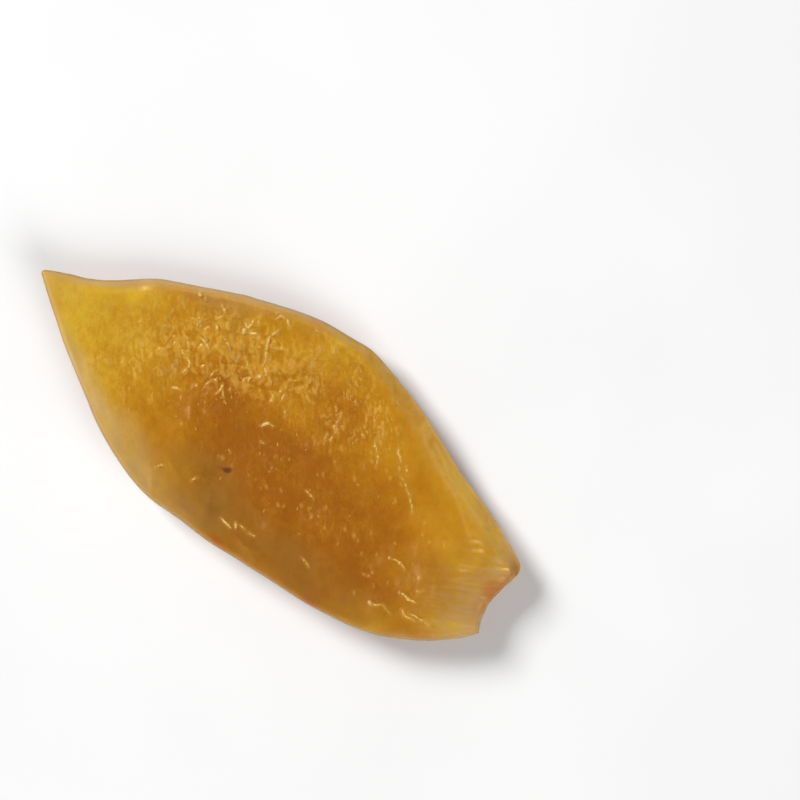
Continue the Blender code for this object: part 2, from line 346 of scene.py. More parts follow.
# Low ridges along the slope of the upper cut, by pixel
SLOPE_RIDGES = {
    "inner": (
        (422, 428), (428, 446), (437, 461), (444, 477), (452, 490), (459, 504), (464, 520), (470, 536),
    ),
    "outer": ((436, 444), (444, 461), (452, 478), (462, 494), (472, 508), (482, 524)),
}
SLOPE_RIDGE_HEIGHT, SLOPE_RIDGE_REACH = 0.035 * MM, 0.8 * MM
FIBRE_STEP = 0.12 * MM
FIBRE_SIDES = 8
FIBRE_SLIMNESS = 1.15
FIBRE_RAISED, FIBRE_DIP = -0.05, 0.9  # of its radius: how high it lies, and how far it dips and rises
FIBRE_FLATNESS = 0.42  # of its height to its width
FIBRE_UNEVEN = 0.55
FIBRE_TAPER = 0.5
FIBRE_DIP_LENGTH, FIBRE_DIP_LAYER = 0.8 * MM, 5
FOLD_HEIGHT, FOLD_REACH = 0.10 * MM, 0.62 * MM  # of the pith that each of these fibres lifts

# Bright specks of syrup and pith, by pixel, and how wide they are as a share of a speck's width; their pale
# colour is partly painted highlight
SPECKS = (
    (183.5, 287, 0.9), (206, 301, 1.5), (227, 296.5, 1.4), (184.5, 307, 1.2), (244.5, 342.5, 1.3),
    (256, 361.5, 1.3), (253, 379.5, 1.0), (277, 314, 1.0), (294, 363.5, 0.9), (265, 310.5, 0.9),
    (181.5, 424, 1.3), (203.5, 411, 1.2), (222, 458, 1.4), (217.5, 456, 1.0), (229.5, 452, 1.0),
    (271.5, 468.5, 1.3), (248.5, 476, 1.0), (255.5, 480, 1.0), (266, 487, 0.9), (280.5, 491, 1.1),
    (237, 402.5, 0.9), (243, 385, 0.9), (262, 366, 1.5), (265, 362, 1.1), (326.5, 337, 1.4),
    (337.5, 346.5, 1.6), (333, 351, 1.0), (324.5, 351, 1.0), (326.5, 364.5, 1.3), (326.5, 372.5, 1.2),
    (308, 370, 1.0), (304, 364, 0.9), (358.5, 368, 1.4), (359.5, 357.5, 1.0), (374, 377.5, 1.5),
    (374.5, 386, 1.6), (372, 390, 1.0), (398, 402, 1.7), (393.5, 399, 1.0), (370, 409.5, 1.3),
    (355, 392.5, 1.1), (354.5, 345, 1.0), (374, 425.5, 1.5), (343.5, 428.5, 1.2), (354, 434, 1.2),
    (348.5, 440, 1.1), (383.5, 435.5, 2.0), (399, 449, 1.0), (400, 469, 1.9), (400.5, 458, 1.2),
    (376, 466, 1.6), (371, 452.5, 1.1), (371.5, 460.5, 1.3), (364, 467, 1.3), (354.5, 479.5, 1.4),
    (386, 471, 1.1), (390, 478, 1.2), (341, 447.5, 1.5), (334.5, 462.5, 1.3), (318.5, 443.5, 1.2),
    (330, 451.5, 1.2), (326.5, 433.5, 1.3), (313, 437, 1.1), (378, 497, 1.0), (395.5, 501, 1.3),
    (323, 475.5, 1.4), (301, 506, 1.2), (308.5, 510, 1.1), (311, 516.5, 1.4), (326, 508.5, 1.3),
    (278, 505, 1.0), (283, 506, 1.0), (324.5, 528, 1.1), (345, 529.5, 1.2), (353.5, 536, 1.4),
    (358, 541, 1.1), (371, 533.5, 1.2), (337.5, 544, 1.1), (362, 554.5, 1.1), (377, 555, 1.0),
    (372, 572.5, 1.0), (374, 586, 1.2), (355, 592.5, 1.3), (388.5, 583, 1.1), (414, 580, 1.0),
    (412.5, 512, 1.8), (424.5, 523.5, 1.2), (422, 534.5, 1.2), (429.5, 543, 1.1), (444, 545.5, 1.2),
    (433, 633.5, 0.9), (237, 525, 1.3), (105, 360, 1.2), (109.5, 412, 1.3), (130, 410, 1.1),
    (150, 388, 1.0), (163, 388, 1.1), (178, 404, 0.9), (80, 285.5, 1.0), (96, 286, 0.9),
    (132, 287.5, 0.9), (157, 303, 0.9),
)
SPECK_WIDTH = 0.30 * MM
BEAD_LEAST = 1.7  # the shares from which a speck is also a bead that stands out
MARK_HEIGHT, MARK_REACH = 0.05 * MM, 0.29 * MM  # of a speck in the skin, for a share of 1
MARK_STRETCH = 2.3
MARK_BEND = (0.16 * MM, 0.5 * MM, 3.7)
SPECK_TONE, SPECK_STRETCH = (0.15, 0.35), (1.3, 2.1)
BEAD_FLATNESS, BEAD_UNEVEN, BEAD_LUMPS, BEAD_DIVISIONS = 0.25, 0.25, 2, 2

# Fine fibres and small specks that are scattered over the pith, and where they are most
SPARKLE_PATCHES = {
    "upper middle": ((36, 6), (16, 12), 20, 0.6),
    "shoulder": ((54, 14), (16, 9), -5, 0.9),
    "middle": ((56, -3), (32, 16), 0, 0.3),
}
SEED = 11
SCATTERED_FIBRES, SCATTERED_SPECKS = 100, 20
SCATTERED_LENGTH = (0.3 * MM, 1.0 * MM)
SCATTERED_WIDTH = (0.22 * MM, 0.38 * MM)
SCATTERED_LEAN = 0.5  # radians either way
SCATTERED_BOW = 0.2  # of its length, either way
SCATTERED_TONE = (0, 0.2)
SCATTERED_STRETCH = (1.2, 2.6)
SCATTERED_STOPS, SCATTERED_SIDES = 7, 6
RIM_MARGIN = 2.2 * MM  # from the outline, within which nothing is scattered
SCATTERED_SPECK_WIDTH = (0.20 * MM, 0.34 * MM)

# Colours, linear
LEMON = (0.68, 0.450, 0.034, 1.0)
GOLD = (0.555, 0.280, 0.013, 1.0)
AMBER = (0.455, 0.188, 0.006, 1.0)
DEEP_AMBER = (0.36, 0.122, 0.006, 1.0)
TAN = (0.47, 0.275, 0.105, 1.0)
CREAM = (0.61, 0.415, 0.157, 1.0)
WARM_TAN = (0.57, 0.335, 0.10, 1.0)
SALLOW_AND_SHADE = (0.36, 0.175, 0.028, 1.0)
STAINED_AND_SHADED = (0.13, 0.065, 0.010, 1.0)
SCORCHED = (0.15, 0.035, 0.003, 1.0)
BLUSHED = (0.42, 0.125, 0.022, 1.0)
END_SHADE = (0.41, 0.18, 0.038, 1.0)
RIM_SHADE = (0.42, 0.265, 0.105, 1.0)
# Pale crests, flecks, specks and fibres: partly their own colour and partly painted highlight
CREST = (0.70, 0.42, 0.085, 1.0)
ZEST = (0.56, 0.235, 0.014, 1.0)
ZEST_DEEP = (0.42, 0.145, 0.007, 1.0)
FIBRE = (0.76, 0.50, 0.19, 1.0)
SUNK_FIBRE = (0.52, 0.25, 0.035, 1.0)
SYRUP_GLOSS = (1.0, 0.78, 0.38, 1.0)
FLOOR = (0.86, 0.86, 0.86, 1.0)
BLACK = (0.0, 0.0, 0.0, 1.0)
DEPTH_STOPS = ((0.0, LEMON), (0.35, GOLD), (0.7, AMBER), (1.0, DEEP_AMBER))
FIBRE_STOPS = ((0.0, SUNK_FIBRE), (0.5, CREST), (1.0, FIBRE))

# Noise of the materials: size, detail, roughness, stretch and direction
NOISES = {
    "mottle": (6.0 * MM, 3.0, 0.55),
    "blotch": (1.7 * MM, 2.0, 0.5),
    "streaks": (0.7 * MM, 3.0, 0.6, 2.0),
    "crumbs": (0.35 * MM, 2.0, 0.6, 1.4),
    "flecks": (0.55 * MM, 1.5, 0.5, 1.9),
    "lines": (0.65 * MM, 2.0, 0.6, 8.0, FRAYED_TURN),
}
FIBRE_BLOTCH = (0.7 * MM, 2.0)
FLOOR_MOTTLE = 60 * MM
GLAND_SIZE, GLAND_SMOOTHNESS = 0.95 * MM, 0.35

# Spans: what they run from, and what they are carried to, if not 0 to 1
STREAK_DEPTH = (0.35, 0.65, 0.05, -0.05)
CRUMB_DEPTH = (0.3, 0.7, 0.04, -0.04)
MOTTLE_DEPTH = (0.3, 0.7, -0.06, 0.06)
BLOTCH_DEPTH = (0.3, 0.7, 0.05, -0.05)
# Deeper in the grain's folds and paler on its crests: partly syrup that pools in the folds, partly painted
# shade there and painted light on the crests
POOLED_AND_SHADED_DEPTH = (0.0, 0.5, 0.07, -0.10)
COARSE_SHARE = (0.0, 0.45, 0.25, 1.0)
VARIED = {  # what the skin stores: the noise that varies it, and by how much
    "sallow_and_shade": ("mottle", 0.3, 0.7, 0.6, 1.3),
    "frayed": ("lines", 0.35, 0.65, -0.21, 0.25),
    "pallor": ("mottle", 0.2, 0.8, 0.6, 1.0),
    "brink": ("blotch", 0.3, 0.7, 0.35, 0.9),
    "dry_cut": ("blotch", 0.3, 0.7, 0.15, 0.55),
    "end_shade": ("lines", 0.3, 0.7, 1.0, 0.6),
    "lifted": ("streaks", 0.35, 0.65, 0.08, 0.42),
    "stain_and_shade": ("streaks", 0.3, 0.6, 1.0, 0.5),
    "blush": ("blotch", 0.3, 0.6, 0.5, 1.0),
}
CREST_SPAN, CREST_SHARE = (0.2, 0.85), (0.3, 0.65, 0.12, 0.55)
FLECK_SPAN, FLECK_SHARE = (0.50, 0.68), (0.5, 1.0, 0.65, 0.3)
GLAND_SPAN = (0.05, 0.55)
RIPE_BY_GLAND, RIPE_BY_MOTTLE = (0.05, 0.55, 0.45, 1.0), (0.3, 0.7, 0.4, 1.0)
ROUGHNESS_SPAN = (0.3, 0.7, 0.27, 0.37)
CRUMBLY_SPAN = (0.0, 0.45, 0.5, 1.0)
FIBRE_TONE_SPAN, FIBRE_ROUGHNESS_SPAN = (0.35, 0.65, -0.75, 0.0), (0.3, 0.7, 0.3, 0.5)
FLOOR_SPAN = (0.3, 0.7, 0.97, 1.0)

# Other values of the materials
RIM_SHADE_SHARE, GLINT_MARK_SHARE, RIDGE_SHARE = 0.7, 0.5, 0.3
CUT_DRYNESS, DRY_ROUGHNESS = 0.8, 0.22
STREAK_BUMP, FLECK_BUMP, CRUMB_BUMP = 0.09 * MM, 0.05 * MM, 0.03 * MM
CUT_BUMP, GLAND_BUMP, FIBRE_BUMP = 0.25 * MM, 0.10 * MM, 0.05 * MM
SOAK_RADIUS = (1.0, 0.62, 0.24)
SKIN_SOAK, SKIN_SOAK_SCALE = 1.0, 0.40 * MM
SKIN_COAT, SKIN_COAT_ROUGHNESS = 0.08, 0.14
FIBRE_SOAK_SCALE, FIBRE_COAT, FIBRE_COAT_ROUGHNESS = 0.1 * MM, 0.1, 0.2
SYRUP_IOR, COAT_IOR, SPECULAR_LEVEL = 1.45, 1.4, 0.5
FLOOR_ROUGHNESS = 0.9
FLOOR_REACH = 3.0

# Camera and lights
CAMERA_HEIGHT = 355.0 * MM
PEEL_HEIGHT = 5.0 * MM  # of the part of the peel that the photograph's scale is measured at
IMAGE_WIDTH = 142.6 * MM  # what the photograph spans at that height
IMAGE_MIDDLE = (64.5 * MM, 18.5 * MM)  # on the plan, from the point
IMAGE_TURN = math.radians(35.85)
IMAGE_PIXELS = 800
PITH_HEIGHT = 6.5 * MM  # of the pith's face, at which what the pixels show is placed
PIXEL = IMAGE_WIDTH / IMAGE_PIXELS * (CAMERA_HEIGHT - PITH_HEIGHT) / (CAMERA_HEIGHT - PEEL_HEIGHT)
SENSOR = 36.0
CLIP_START = 10 * MM
MAIN_FROM, MAIN_UP, MAIN_AWAY = math.radians(138), math.radians(42), 1.2  # in the image, and above the floor
MAIN_SIZE, MAIN_POWER = 0.45, 14.6
FILL_FROM, FILL_UP, FILL_AWAY = math.radians(-50), math.radians(38), 1.1
FILL_SIZE, FILL_POWER = 0.7, 7.8
WORLD_GREY, WORLD_STRENGTH = 1.0, 0.13


def hill(x, at, top, start, end, powers):
    """A curve along the peel: start at its point, top where x is at, and end at the trimmed end."""
    before = top - (top - start) * np.clip((at - x) / at, 0, 1) ** powers[0]
    after = top - (top - end) * np.clip((x - at) / (LENGTH - at), 0, 1) ** powers[1]
    return np.where(x < at, before, after)


def ramp(x, low, high):
    """0 at low and before it, 1 at high and beyond it, and smooth between."""
    t = np.clip((x - low) / (high - low), 0, 1)
    return t * t * (3 - 2 * t)


def soft_max(first, second, softness):
    """The larger value, rounded off where the two cross."""
    share = np.clip(0.5 + (first - second) / (2 * softness), 0, 1)
    return second + (first - second) * share + softness * share * (1 - share)


def soft_min(first, second, softness):
    return -soft_max(-first, -second, softness)


def relief(kind, x, y):
    """Smooth lumps over the plan, from about minus to plus their height."""
    height, length, layer = kind
    spots = zip(x / length, y / length)
    return 2 * height * np.array([noise.noise(Vector((p, q, layer))) for p, q in spots])


def folds(kind, x, y):
    """Long soft wrinkles, from minus half their height in the folds to plus half of it on the crests."""
    return kind[0] / 2 - np.minimum(np.abs(relief(kind, x, y)), kind[0])


def turned(kind, turn, x, y):
    """Relief that is drawn out in the direction of turn."""
    height, length, width, layer = kind
    along = x * math.cos(turn) + y * math.sin(turn)
    across = y * math.cos(turn) - x * math.sin(turn)
    return relief((height, width, layer), along * width / length, across)


def scraped(kind, x, y):
    return turned(kind, SCRAPED, x, y)


def crests(kind, x, y):
    """Sharp crests that wander: 1 along each and 0 between them."""
    length, width, layer = kind
    bend = relief(BEND, x, y)
    between = scraped((1.0, length, width, layer), x + bend, y - bend)
    return np.clip(1 - CREST_SHARPNESS * np.abs(between), 0, 1)


def in_places(size, layer, x, y):
    """From 0 to 1, in soft places of about that size."""
    return ramp(relief((1.0, size, layer), x, y), PLACED_FROM, PLACED_TO)


def upper_edge(x):
    waver = relief(WAVER, x, 0 * x) * ramp(x, 0, WAVER_FADE)
    sway = UPPER_SWAY * np.sin(2 * math.pi * np.clip((x - UPPER_SWAY_FROM) / UPPER_SWAY_LENGTH, 0, 1))
    hollow = TIP_HOLLOW * np.sin(math.pi * np.clip(x / TIP_HOLLOW_LENGTH, 0, 1)) ** 2
    powers = (UPPER_TIP_POWER, UPPER_END_POWER)
    return hill(x, UPPER_WIDEST_AT, UPPER_REACH, 0, UPPER_AT_END, powers) - hollow + sway + waver


def lower_edge(x):
    waver = relief(WAVER, x, 0 * x) * ramp(x, 0, WAVER_FADE)
    sway = LOWER_SWAY * np.sin(2 * math.pi * np.clip((x - LOWER_SWAY_FROM) / LOWER_SWAY_LENGTH, 0, 1))
    powers = (LOWER_TIP_POWER, LOWER_END_POWER)
    return waver - sway - hill(x, LOWER_WIDEST_AT, LOWER_REACH, 0, LOWER_AT_END, powers)


def gathered(t):
    return (1 - GATHERED) * t + GATHERED * np.sin(t * math.pi / 2)


def across_lines(v, u):
    """x at the share u of the way from the nose to the trimmed end, at v across, from -1 to 1."""
    nose = NOSE * (1 + v**2)
    corner = CORNER_ROUND * np.clip(v, 0, 1) ** CORNER_POWER
    notch = NOTCH_DEPTH * (1 - v**2) * (1 - NOTCH_LEAN * v)
    end = LENGTH - notch - corner
    return nose + (end - nose) * u


def plan(a, v):
    """x and y of a unit slab's place: a along it and v across it, each from -1 to 1."""
    u = (gathered(a) + 1) / 2
    low = lower_edge(across_lines(-np.ones_like(v), u))
    high = upper_edge(across_lines(np.ones_like(v), u))
    return across_lines(v, u), low + (high - low) * (v + 1) / 2


def outline():
    """Close points all along the outline."""
    t = np.linspace(-1, 1, OUTLINE_STEPS)
    rim = np.ones_like(t)
    sides = [plan(t, rim), plan(t, -rim), plan(rim, t), plan(-rim, t)]
    return np.concatenate([np.transpose(side) for side in sides])


def tree_of(places):
    """A tree that finds the nearest of some places on the plan."""
    tree = kdtree.KDTree(len(places))
    for index, (x, y) in enumerate(places):
        tree.insert(Vector((x, y, 0)), index)
    tree.balance()
    return tree


def distance(places, x, y):
    """How far x and y are, in plan, from the nearest of some places."""
    tree = tree_of(places)
    return np.array([tree.find(Vector((p, q, 0)))[2] for p, q in zip(x, y)])


def underside(x, y, rim):
    """Height of the zest: a shallow cup that rises to both ends, with a flat spot and a round rim."""
    lift = hill(x, LOWEST_AT, 0, TIP_LIFT, END_LIFT, (LIFT_TIP_POWER, LIFT_END_POWER))
    cup = (y - LOWEST_ACROSS) ** 2 / (2 * CUP_RADIUS)
    twist = TWIST * y * (x - LOWEST_AT) / (LENGTH / 2)
    free = lift + cup - twist
    free += relief(SWELL, x, y) * ramp(free, 0, 2 * REST_FADE)
    rested = soft_max(free - REST_SINK, 0, REST_SOFTNESS)
    pores = relief(PORE, x, y) * ramp(rested, 0, REST_FADE)
    arris = np.clip(1 - rim / ZEST_ARRIS, 0, 1)
    return rested + pores + ZEST_ARRIS / 2 * (1 - np.sqrt(1 - arris**2))


def cut_width(x, v):
    """Width in plan of the slope that is nearest to a place."""
    upper = UPPER_CUT + UPPER_CUT_GAIN * ramp(x, GAIN_FROM, GAIN_TO)
    long_cut = LOWER_CUT + (upper - LOWER_CUT) * ramp(v, -CUT_CHANGE, CUT_CHANGE)
    near_end = ramp(x, LENGTH - END_CUT_FROM, LENGTH - END_CUT_TO)
    near_end = near_end * (1 - ramp(np.abs(v), END_CUT_WHOLE, END_CUT_GONE))
    return long_cut + (END_CUT - long_cut) * near_end


def thickness(x, y, v, rim):
    """Zest and pith together: full under the pith's face, and falling to the zest's rim on a cut."""
    powers = (THICK_TIP_POWER, THICK_END_POWER)
    full = hill(x, THICKEST_AT, HEART_THICKNESS, TIP_THICKNESS, END_THICKNESS, powers)
    full = full * (1 - RIM_THINNING * v**2)
    cut = cut_width(x, v)
    rise = soft_min(rim / cut, 1, ARRIS_SOFTNESS)
    wrinkled = ramp(x, *WRINKLED_FROM) * (1 - ramp(x, *WRINKLED_TO))
    pith = (relief(LUMP, x, y) + folds(WRINKLE, x, y) * wrinkled) * ramp(rim, cut, cut + RELIEF_FADE)
    return ZEST_THICKNESS + (full - ZEST_THICKNESS) * rise + pith


def oval(x, y, place, reach, turn):
    """1 in the core of an oval on the plan and 0 from its reach on, smooth between."""
    p, q = (x - NOSE) / MM - place[0], y / MM - place[1]
    cos, sin = math.cos(math.radians(turn)), math.sin(math.radians(turn))
    far = np.hypot((p * cos + q * sin) / reach[0], (q * cos - p * sin) / reach[1])
    return 1 - ramp(far, OVAL_CORE, 1)


def patched(x, y, start, patches):
    """A share of 1 over the plan: start, and the patches on it."""
    ovals = [amount * oval(x, y, place, reach, turn) for place, reach, turn, amount in patches.values()]
    return np.clip(start + sum(ovals), 0, 1)


def placed(name, data):
    """A new object of the scene."""
    thing = bpy.data.objects.new(name, data)
    bpy.context.scene.collection.objects.link(thing)
    return thing


def unit_slab():
    """A slab of squares from -1 to 1 in x and y and 0 to 1 in z, with its sides divided too."""
    slab = bmesh.new()
    bmesh.ops.create_grid(slab, x_segments=ALONG, y_segments=ACROSS, size=1)
    grown = bmesh.ops.extrude_face_region(slab, geom=slab.faces[:])["geom"]
    top = [part for part in grown if isinstance(part, bmesh.types.BMVert)]
    bmesh.ops.translate(slab, verts=top, vec=(0, 0, 1))
    upright = [edge for edge in slab.edges if edge.verts[0].co.z != edge.verts[1].co.z]
    bmesh.ops.subdivide_edges(slab, edges=upright, cuts=UP - 1)
    on_face = [edge for edge in slab.edges if min(end.co.z for end in edge.verts) == 1]
    bmesh.ops.subdivide_edges(slab, edges=on_face, cuts=1, use_grid_fill=True)
    bmesh.ops.recalc_face_normals(slab, faces=slab.faces[:])
    mesh = bpy.data.meshes.new("peel_skin")
    slab.to_mesh(mesh)
    slab.free()
    mesh.shade_smooth()
    return mesh


def coordinates(mesh):
    places = np.zeros(3 * len(mesh.vertices))
    mesh.vertices.foreach_get("co", places)
    return places.reshape(-1, 3)


def store(mesh, name, values):
    mesh.attributes.new(name, "FLOAT", "POINT").data.foreach_set("value", values)


def move(mesh, places):
    mesh.vertices.foreach_set("co", places.ravel())
    mesh.update()


def vertex_normals(mesh):
    normals = np.zeros(3 * len(mesh.vertices))
    mesh.vertex_normals.foreach_get("vector", normals)
    return normals.reshape(-1, 3)


def fine_relief(x, y, cut):
    """The height of the pith's low relief, and, for the material, a share from 0 to 1 for each kind."""
    grain = patched(x, y, GRAIN, GRAIN_PATCHES) * (1 - cut)
    dashed = patched(x, y, DASHES, DASH_PATCHES) * (1 - CUT_DASHED_LESS * cut)
    coarse = np.max([grain, dashed, COARSE_LEFT * patched(x, y, 0, CREAMY_PATCHES)], axis=0)
    dashed = dashed * (DASHED_LEAST + (1 - DASHED_LEAST) * in_places(*DASHED, x, y))
    crumple = crests(CRUMPLE[1:], x, y) * in_places(*CRUMPLED, x, y) * grain
    crease = crests(CREASE[1:], x, y) * in_places(*CREASED, x, y) * grain
    dashes = ramp(scraped((1.0, *DASH[1:]), x, y), DASH_FROM, DASH_TO) * dashed
    crumb = ramp(scraped((1.0, *CRUMB[1:]), x, y), DASH_FROM, DASH_TO) * grain
    lifted = near_lines([points for points, width in FIBRES.values()], FOLD_REACH, x, y)
    glint_marks = marked(x, y)
    ridges = near_lines(SLOPE_RIDGES.values(), SLOPE_RIDGE_REACH, x, y)
    frayed = ramp(x, FRAYED_FROM, FRAYED_TO)

    fine = scraped(RIDGE, x, y) * (SMOOTH_RELIEF + (1 - SMOOTH_RELIEF) * grain)
    fine += CRUMPLE[0] * crumple + CREASE[0] * crease + DASH[0] * dashes + CRUMB[0] * crumb
    fine += FOLD_HEIGHT * lifted + MARK_HEIGHT * glint_marks + turned(FRAY, FRAYED_TURN, x, y) * frayed
    height = fine * (1 - CUT_FINE_LESS * cut) + SLOPE_RIDGE_HEIGHT * ridges
    height -= PIT_DEPTH * oval(x, y, *SPOT_PATCHES["brown spot"][:3])
    kinds = [crumple, CREST_OF_CREASE * crease, dashes, CREST_OF_CRUMB * crumb, CREST_OF_FOLD * lifted]
    return height, {
        "grain": grain, "dashed": dashed, "coarse": coarse, "crest": np.max(kinds, axis=0),
        "lifted": lifted, "glint_mark": glint_marks, "ridge": ridges, "frayed": frayed,
    }


def edge_shares(x, y, v, c, rim, cut):
    """What the material needs to know of the rim, the cuts and the trimmed end, each from 0 to 1."""
    bare = 1 - BARE_SHARE * oval(x, y, *BARE_BRINK)
    end = across_lines(v, np.ones_like(v))
    end_shade = (1 - ramp(end - x, END_SHADE_FROM, END_SHADE_TO)) * ramp(v, *END_SHADE_ACROSS)
    shaded_edge = oval(x, y, *SHADED_EDGE) * (1 - ramp(rim, SHADED_EDGE_FROM, SHADED_EDGE_TO))
    return {
        "zest": 1 - ramp(c, ZEST_TO, PITH_FROM),
        "cut": cut,
        "brink": (1 - ramp(rim, BRINK_FROM, BRINK_TO)) * bare,
        "dry_cut": cut * bare,
        "rim_shade": 1 - ramp(rim, 0, RIM_SHADE_WIDTH),
        "end_shade": end_shade * (1 - CORNER_END_SHADE_LESS * ramp(v, *CORNER_ACROSS)),
        "creamy": patched(x, y, 0, CREAMY_PATCHES) * (1 - shaded_edge),
    }


def make_skin():
    """The whole peel, with its fine relief and with what its material needs to know of each place."""
    mesh = unit_slab()
    a, b, c = coordinates(mesh).T
    v = gathered(b)
    x, y = plan(a, v)
    rim = distance(outline(), x, y)
    z = underside(x, y, rim) + c * thickness(x, y, v, rim)
    middle = ((x.min() + x.max()) / 2, (y.min() + y.max()) / 2)
    places = np.stack([x - middle[0], y - middle[1], z], axis=1)
    move(mesh, places)

    cut = 1 - ramp(rim, CUT_FROM * cut_width(x, v), CUT_TO * cut_width(x, v))
    pith, shares = fine_relief(x, y, cut)
    zest = relief(DIMPLE, x, y) * ramp(z, 0, REST_FADE)
    height = np.where(c > PITH_RELIEF_FROM, pith * ramp(c, PITH_RELIEF_FROM, 1), zest)
    move(mesh, places + height[:, None] * vertex_normals(mesh))

    shares.update(edge_shares(x, y, v, c, rim, cut))
    shares.update({name: patched(x, y, *patches) for name, patches in PAINTED.items()})
    for name, values in shares.items():
        store(mesh, name, values)
    return placed("peel_skin", mesh), middle


def marked(x, y):
    """1 in the middle of each speck and 0 from its reach on, drawn out in the direction of the scraping."""
    places = scraped_frame(*seen_at([speck[:2] for speck in SPECKS]).T)
    tree = tree_of(np.transpose(places))
    share = []
    for p, q in zip(*scraped_frame(x + relief(MARK_BEND, x, y), y)):
        index, far = tree.find(Vector((p, q, 0)))[1:]
        share.append(1 - far / (SPECKS[index][2] * MARK_REACH))
    return ramp(np.array(share), 0, 1)


def scraped_frame(x, y):
    """Places along the scraping, made shorter by the stretch of the specks, and across it."""
    along = x * math.cos(SCRAPED) + y * math.sin(SCRAPED)
    return along / MARK_STRETCH, y * math.cos(SCRAPED) - x * math.sin(SCRAPED)


def near_lines(lines, reach, x, y):
    """1 on a line through pixels of the photograph and 0 from its reach on, smooth between."""
    stops = np.concatenate([curve_through(points) for points in lines])
    return 1 - ramp(distance(stops, x, y), 0, reach)


def seen_at(pixels):
    """x and y on the plan of what the photograph shows at one pixel or at each of them."""
    right, down = (np.array(pixels, float) - IMAGE_PIXELS / 2).T * PIXEL
    x = IMAGE_MIDDLE[0] + NOSE + right * math.cos(IMAGE_TURN) + down * math.sin(IMAGE_TURN)
    y = IMAGE_MIDDLE[1] + right * math.sin(IMAGE_TURN) - down * math.cos(IMAGE_TURN)
    return np.stack([x, y], axis=-1)


def curve_through(points):
    """A Catmull-Rom curve through pixels of the photograph, in short steps, as x and y on the plan."""
    knots = seen_at([points[0], *points, points[-1]])
    spans = []
    for before, start, end, after in zip(knots, knots[1:], knots[2:], knots[3:]):
        steps = max(2, round(float(np.hypot(*(end - start))) / FIBRE_STEP))
        t = np.arange(steps)[:, None] / steps
        square, cube = 2 * before - 5 * start + 4 * end - after, 3 * start - before - 3 * end + after
        bend = square * t**2 + cube * t**3
        spans.append(start + ((end - before) * t + bend) / 2)
    return np.concatenate([*spans, knots[-1:]])


class Strands:
    """Small closed pieces that lie on the skin, gathered into one mesh with a tone for each."""

    def __init__(self, skin, middle):
        self.surface = bvhtree.BVHTree.FromObject(skin, bpy.context.evaluated_depsgraph_get())
        self.middle = middle
        self.places, self.faces, self.tones = [], [], []

    def on_skin(self, x, y):
        """The place on top of the skin above a place on the plan, and the skin's normal there."""
        above = Vector((x - self.middle[0], y - self.middle[1], 1))
        place, normal = self.surface.ray_cast(above, Vector((0, 0, -1)))[:2]
        return place, normal

    def add_fibre(self, line, width, tone, sides):
        """A tapered strand along a line on the plan, sunk into the skin by its ends and by its lower half."""
        landed = [self.on_skin(x, y) for x, y in line]
        if any(place is None for place, normal in landed):
            return
        count = len(landed)
        first = len(self.places)
        layer = first * FIBRE_STEP
        self.places.append(landed[0][0] - landed[0][1] * width / 2)
        for index in range(1, count - 1):
            place, normal = landed[index]
            forward = (landed[index + 1][0] - landed[index - 1][0]).normalized()
            side = normal.cross(forward).normalized()
            swell = 1 + FIBRE_UNEVEN * 2 * noise.noise(Vector((index * FIBRE_STEP / width, layer / MM, 0)))
            radius = width / 2 * swell * math.sin(math.pi * index / (count - 1)) ** FIBRE_TAPER
            dip = noise.noise(Vector((index * FIBRE_STEP / FIBRE_DIP_LENGTH, layer / MM, FIBRE_DIP_LAYER)))
            heart = place + normal * radius * (FIBRE_RAISED + FIBRE_DIP * dip)
            for turn in range(sides):
                angle = 2 * math.pi * turn / sides
                outwards = math.cos(angle) * side + FIBRE_FLATNESS * math.sin(angle) * normal
                self.places.append(heart + radius * outwards)
        self.places.append(landed[-1][0] - landed[-1][1] * width / 2)
        last = len(self.places) - 1
        for turn in range(sides):
            after = (turn + 1) % sides
            self.faces.append((first, first + 1 + after, first + 1 + turn))
            self.faces.append((last, last - sides + turn, last - sides + after))
            for ring in range(count - 3):
                low, high = first + 1 + ring * sides, first + 1 + (ring + 1) * sides
                self.faces.append((low + turn, low + after, high + after, high + turn))
        self.tones += [tone] * (len(self.places) - first)

    def add_speck(self, x, y, width, tone, stretch, bead):
        """A small uneven bead that is half sunk into the skin."""
        place, normal = self.on_skin(x, y)
        if place is None:
            return
        along = Vector((math.cos(SCRAPED), math.sin(SCRAPED), 0))
        side = normal.cross(along).normalized()
        along = side.cross(normal)
        first = len(self.places)
        for corner in bead.vertices:
            lump = noise.noise(corner.co * BEAD_LUMPS + Vector((first, 0, 0)))
            p, q, r = corner.co * (1 + BEAD_UNEVEN * lump)
            offset = p * stretch * along + q * side + BEAD_FLATNESS * r * normal
            self.places.append(place + width / 2 * offset)
        self.faces += [tuple(first + corner for corner in face.vertices) for face in bead.polygons]
        self.tones += [tone] * (len(self.places) - first)

    def finish(self, name, material):
        mesh = bpy.data.meshes.new(name)
        mesh.from_pydata(self.places, [], self.faces)
        mesh.shade_smooth()
        store(mesh, "tone", self.tones)
        mesh.materials.append(material)
        piece = placed(name, mesh)
        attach(piece, "root")


def round_bead():
    shape = bmesh.new()
    bmesh.ops.create_icosphere(shape, subdivisions=BEAD_DIVISIONS, radius=1)
    bead = bpy.data.meshes.new("bead")
    shape.to_mesh(bead)
    shape.free()
    return bead


def grainy_places(count, chance):
    """Places on the pith, drawn at random but more often where it sparkles."""
    found = []
    while len(found) < count:
        x = np.array([chance.uniform(0, LENGTH) for _ in range(count)])
        y = np.array([chance.uniform(-LOWER_REACH, UPPER_REACH) for _ in range(count)])
        kept = np.array([chance.random() for _ in range(count)]) < patched(x, y, 0, SPARKLE_PATCHES)
        kept &= (y < upper_edge(x) - RIM_MARGIN) & (y > lower_edge(x) + RIM_MARGIN)
        kept &= x < LENGTH - RIM_MARGIN
        found += list(zip(x[kept], y[kept]))
    return found[:count]


